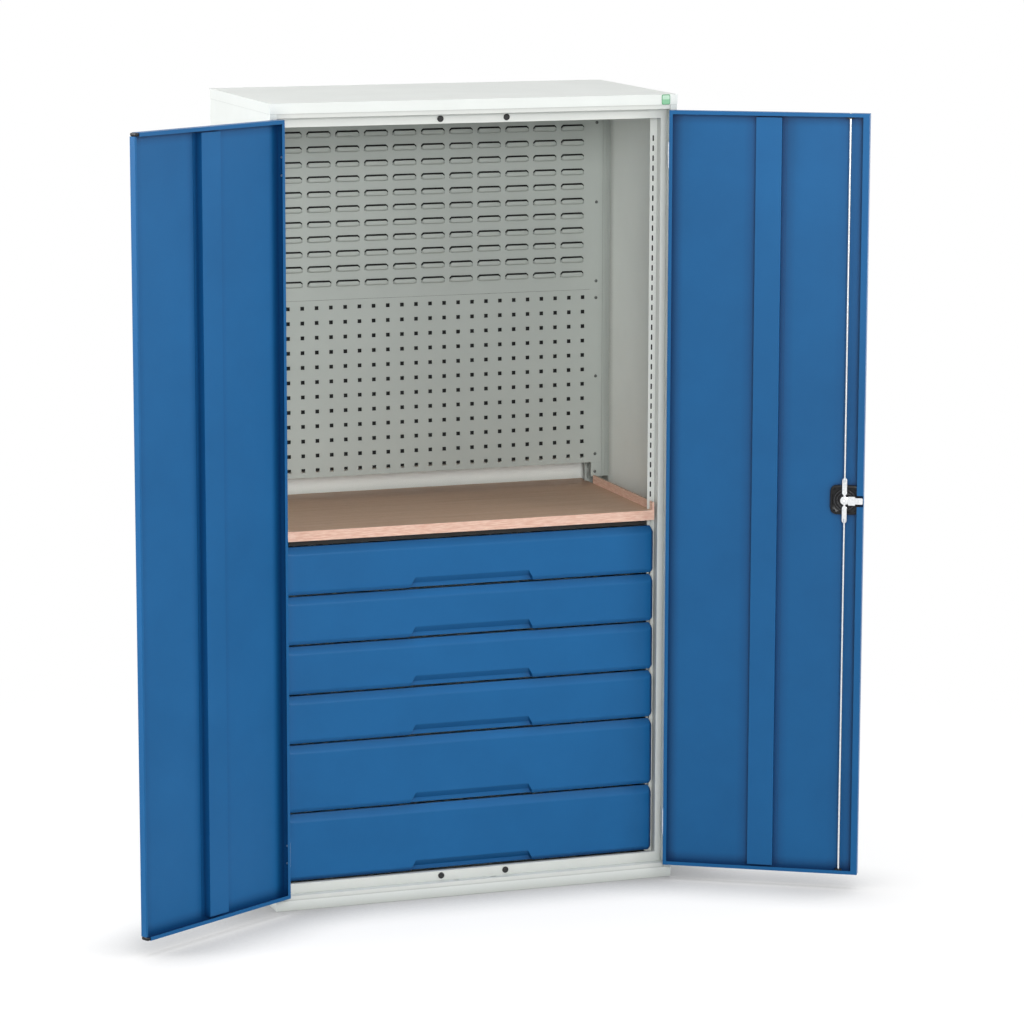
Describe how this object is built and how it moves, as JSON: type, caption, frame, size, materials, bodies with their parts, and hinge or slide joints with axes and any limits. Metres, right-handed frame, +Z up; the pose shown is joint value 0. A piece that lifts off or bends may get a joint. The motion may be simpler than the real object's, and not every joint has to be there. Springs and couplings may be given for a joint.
{
  "type": "tool cabinet with doors",
  "caption": "Tall steel tool cabinet with two hinged doors, louvred and perforated back panels, a wooden worktop and a stack of drawers below.",
  "frame": {"origin": "middle of the cabinet body's footprint, on the floor", "axes": "+X to the right seen from the front, +Y from the front to the back, +Z up; the doors stand open at rest"},
  "size_m": [1.8676, 0.8274, 2],
  "materials": {
    "body_paint": "light grey powder coat",
    "door_paint": "blue powder coat",
    "beech_plywood": "oiled beech plywood",
    "zinc_plate": "bright zinc plate",
    "black_plastic": "fine-textured black nylon",
    "black_rubber": "moulded rubber",
    "badge_green": "pale green plate, bare"
  },
  "bodies": {
    "carcass": {"roof_panel": "body_paint", "base_panel": "body_paint", "badge_plate": "badge_green", "left_side_panel": "body_paint", "right_side_panel": "body_paint", "back_panel": "body_paint", "front_stiles": "body_paint", "front_rails": "body_paint", "door_buffers": "black_rubber", "rear_posts": "body_paint", "perforated_panel": "body_paint", "louvre_panel": "body_paint", "panel_screws": "zinc_plate", "worktop": "beech_plywood", "worktop_side_lips": "beech_plywood", "worktop_supports": "body_paint", "cabinet_runners": "zinc_plate", "hinge_frame_leaves": "zinc_plate", "hinge_pins": "zinc_plate"},
    "left_door": {"left_door_panel": "door_paint", "left_door_edge_strip": "door_paint", "left_door_end_caps": "black_plastic", "left_door_stiffener": "door_paint", "left_door_hinge_leaves": "zinc_plate"},
    "right_door": {"right_door_panel": "door_paint", "right_door_stiffener": "door_paint", "right_door_hinge_leaves": "zinc_plate", "lock_housing": "black_plastic", "rod_guides": "black_plastic"},
    "lock_spindle": {"turn_handle": "black_plastic", "lock_hub": "zinc_plate"},
    "key_cylinder": {"key_cylinder": "zinc_plate"},
    "upper_rod": {"upper_rod": "zinc_plate"},
    "lower_rod": {"lower_rod": "zinc_plate"},
    "side_bolt": {"side_bolt": "zinc_plate"},
    "drawer_1": {"drawer_1_front": "door_paint", "drawer_1_tray": "body_paint", "drawer_1_tray_runners": "zinc_plate"},
    "drawer_1_middle_runners": {"drawer_1_middle_runners": "zinc_plate"},
    "drawer_2": {"drawer_2_front": "door_paint", "drawer_2_tray": "body_paint", "drawer_2_tray_runners": "zinc_plate"},
    "drawer_2_middle_runners": {"drawer_2_middle_runners": "zinc_plate"},
    "drawer_3": {"drawer_3_front": "door_paint", "drawer_3_tray": "body_paint", "drawer_3_tray_runners": "zinc_plate"},
    "drawer_3_middle_runners": {"drawer_3_middle_runners": "zinc_plate"},
    "drawer_4": {"drawer_4_front": "door_paint", "drawer_4_tray": "body_paint", "drawer_4_tray_runners": "zinc_plate"},
    "drawer_4_middle_runners": {"drawer_4_middle_runners": "zinc_plate"},
    "drawer_5": {"drawer_5_front": "door_paint", "drawer_5_tray": "body_paint", "drawer_5_tray_runners": "zinc_plate"},
    "drawer_5_middle_runners": {"drawer_5_middle_runners": "zinc_plate"},
    "drawer_6": {"drawer_6_front": "door_paint", "drawer_6_tray": "body_paint", "drawer_6_tray_runners": "zinc_plate"},
    "drawer_6_middle_runners": {"drawer_6_middle_runners": "zinc_plate"}
  },
  "joints": [
    {"name": "left_door_hinge", "type": "hinge", "parent": "carcass", "child": "left_door", "pos_m": [-0.503, -0.275, 1], "axis": [0, 0, -1], "range_deg": [-149.2, 10]},
    {"name": "right_door_hinge", "type": "hinge", "parent": "carcass", "child": "right_door", "pos_m": [0.503, -0.275, 1], "axis": [0, 0, 1], "range_deg": [-149.2, 10]},
    {"name": "handle_turn", "type": "hinge", "parent": "right_door", "child": "lock_spindle", "pos_m": [0.89297, -0.50747, 0.998], "axis": [0.512, 0.859, 0], "range_deg": [0, 90]},
    {"name": "key_turn", "type": "hinge", "parent": "lock_spindle", "child": "key_cylinder", "pos_m": [0.89297, -0.50747, 0.998], "axis": [0.512, 0.859, 0], "range_deg": [0, 90]},
    {"name": "upper_rod_slide", "type": "slide", "parent": "right_door", "child": "upper_rod", "axis": [0, 0, 1], "range_m": [0, 0.016]},
    {"name": "lower_rod_slide", "type": "slide", "parent": "right_door", "child": "lower_rod", "axis": [0, 0, -1], "range_m": [0, 0.016]},
    {"name": "side_bolt_slide", "type": "slide", "parent": "right_door", "child": "side_bolt", "axis": [0.859, -0.512, 0], "range_m": [0, 0.012]},
    {"name": "drawer_1_slide", "type": "slide", "parent": "carcass", "child": "drawer_1", "axis": [0, -1, 0], "range_m": [0, 0.4]},
    {"name": "drawer_1_middle_slide", "type": "slide", "parent": "carcass", "child": "drawer_1_middle_runners", "axis": [0, -1, 0], "range_m": [0, 0.2]},
    {"name": "drawer_2_slide", "type": "slide", "parent": "carcass", "child": "drawer_2", "axis": [0, -1, 0], "range_m": [0, 0.4]},
    {"name": "drawer_2_middle_slide", "type": "slide", "parent": "carcass", "child": "drawer_2_middle_runners", "axis": [0, -1, 0], "range_m": [0, 0.2]},
    {"name": "drawer_3_slide", "type": "slide", "parent": "carcass", "child": "drawer_3", "axis": [0, -1, 0], "range_m": [0, 0.4]},
    {"name": "drawer_3_middle_slide", "type": "slide", "parent": "carcass", "child": "drawer_3_middle_runners", "axis": [0, -1, 0], "range_m": [0, 0.2]},
    {"name": "drawer_4_slide", "type": "slide", "parent": "carcass", "child": "drawer_4", "axis": [0, -1, 0], "range_m": [0, 0.4]},
    {"name": "drawer_4_middle_slide", "type": "slide", "parent": "carcass", "child": "drawer_4_middle_runners", "axis": [0, -1, 0], "range_m": [0, 0.2]},
    {"name": "drawer_5_slide", "type": "slide", "parent": "carcass", "child": "drawer_5", "axis": [0, -1, 0], "range_m": [0, 0.4]},
    {"name": "drawer_5_middle_slide", "type": "slide", "parent": "carcass", "child": "drawer_5_middle_runners", "axis": [0, -1, 0], "range_m": [0, 0.2]},
    {"name": "drawer_6_slide", "type": "slide", "parent": "carcass", "child": "drawer_6", "axis": [0, -1, 0], "range_m": [0, 0.4]},
    {"name": "drawer_6_middle_slide", "type": "slide", "parent": "carcass", "child": "drawer_6_middle_runners", "axis": [0, -1, 0], "range_m": [0, 0.2]}
  ],
  "couplings": [
    {"joint": "upper_rod_slide", "follows": "handle_turn", "m_per_rad": 0.01018},
    {"joint": "lower_rod_slide", "follows": "handle_turn", "m_per_rad": 0.01018},
    {"joint": "side_bolt_slide", "follows": "handle_turn", "m_per_rad": 0.00763},
    {"joint": "drawer_1_middle_slide", "follows": "drawer_1_slide", "ratio": 0.5},
    {"joint": "drawer_2_middle_slide", "follows": "drawer_2_slide", "ratio": 0.5},
    {"joint": "drawer_3_middle_slide", "follows": "drawer_3_slide", "ratio": 0.5},
    {"joint": "drawer_4_middle_slide", "follows": "drawer_4_slide", "ratio": 0.5},
    {"joint": "drawer_5_middle_slide", "follows": "drawer_5_slide", "ratio": 0.5},
    {"joint": "drawer_6_middle_slide", "follows": "drawer_6_slide", "ratio": 0.5}
  ]
}
